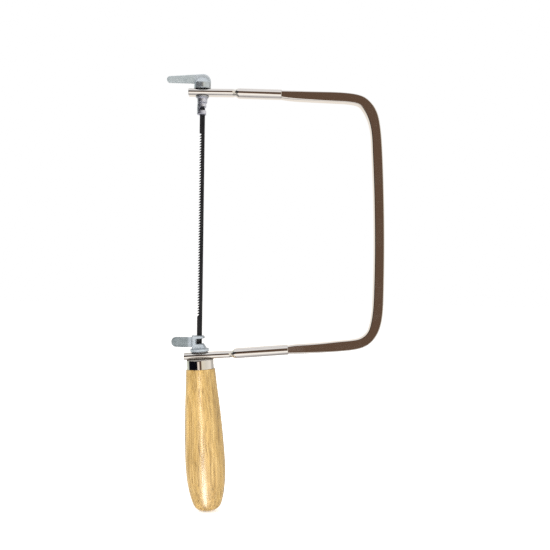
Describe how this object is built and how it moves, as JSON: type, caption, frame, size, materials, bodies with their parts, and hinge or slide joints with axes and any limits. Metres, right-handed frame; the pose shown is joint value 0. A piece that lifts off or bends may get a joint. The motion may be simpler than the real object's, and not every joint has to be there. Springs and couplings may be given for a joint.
{
  "type": "coping saw",
  "caption": "Coping saw with a flat-bar bow, tubular end arms, turning blade holders with finger levers, a toothed pin-end blade and a turned wooden handle.",
  "frame": {"origin": "middle of the blade, halfway between its two pins", "axes": "+Z along the blade towards the tension nut, -X the way the teeth face, +X towards the bow's back, Y across the flat bow"},
  "size_m": [0.1537, 0.0278, 0.306],
  "materials": {
    "nickel": "polished nickel plate",
    "zinc": "die-cast zinc, satin with mottled grain",
    "steel": "turned steel, bright zinc plate",
    "blade_steel": "black oxide tempered steel",
    "wood": "clear lacquered hardwood"
  },
  "bodies": {
    "frame": {"bow": "nickel", "upper_arm_tube": "nickel", "lower_arm_tube": "nickel"},
    "upper_swivel": {"upper_keyed_washer": "steel"},
    "tension_nut": {"tension_lever_nut": "zinc"},
    "upper_hook": {"upper_blade_holder": "steel"},
    "blade_unit": {"blade": "blade_steel", "upper_blade_pin": "blade_steel", "lower_blade_pin": "blade_steel"},
    "lower_swivel": {"lower_keyed_washer": "steel"},
    "lower_hook": {"lower_blade_holder": "zinc"},
    "handle": {"handle_grip": "wood", "ferrule": "nickel", "handle_insert": "steel"}
  },
  "joints": [
    {"name": "blade_turn", "type": "hinge", "parent": "frame", "child": "upper_swivel", "pos_m": [0, 0, 0.09], "axis": [0, 0, 1], "continuous": true},
    {"name": "lever_turn", "type": "hinge", "parent": "upper_swivel", "child": "tension_nut", "pos_m": [0, 0, 0.0953], "axis": [0, 0, 1], "range_deg": [0, 410]},
    {"name": "upper_hook_slide", "type": "slide", "parent": "upper_swivel", "child": "upper_hook", "axis": [0, 0, -1], "range_m": [0, 0.0009]},
    {"name": "blade_unhook", "type": "slide", "parent": "upper_swivel", "child": "blade_unit", "axis": [1, 0, 0], "range_m": [0, 0.012]},
    {"name": "lower_turn", "type": "hinge", "parent": "frame", "child": "lower_swivel", "pos_m": [0.00069, 0, -0.09173], "axis": [-0.0645, 0, 0.9979], "continuous": true},
    {"name": "lower_hook_slide", "type": "slide", "parent": "lower_swivel", "child": "lower_hook", "axis": [-0.0645, 0, 0.9979], "range_m": [0, 0.0012]},
    {"name": "handle_turn", "type": "hinge", "parent": "frame", "child": "handle", "pos_m": [0.00084, 0, -0.09397], "axis": [0.0645, 0, -0.9979], "range_deg": [0, 545]}
  ],
  "couplings": [
    {"joint": "lever_turn", "follows": "upper_hook_slide", "rad_per_m": 7915.8},
    {"joint": "lower_turn", "follows": "blade_turn", "ratio": 1},
    {"joint": "handle_turn", "follows": "lower_hook_slide", "rad_per_m": 7915.8}
  ]
}
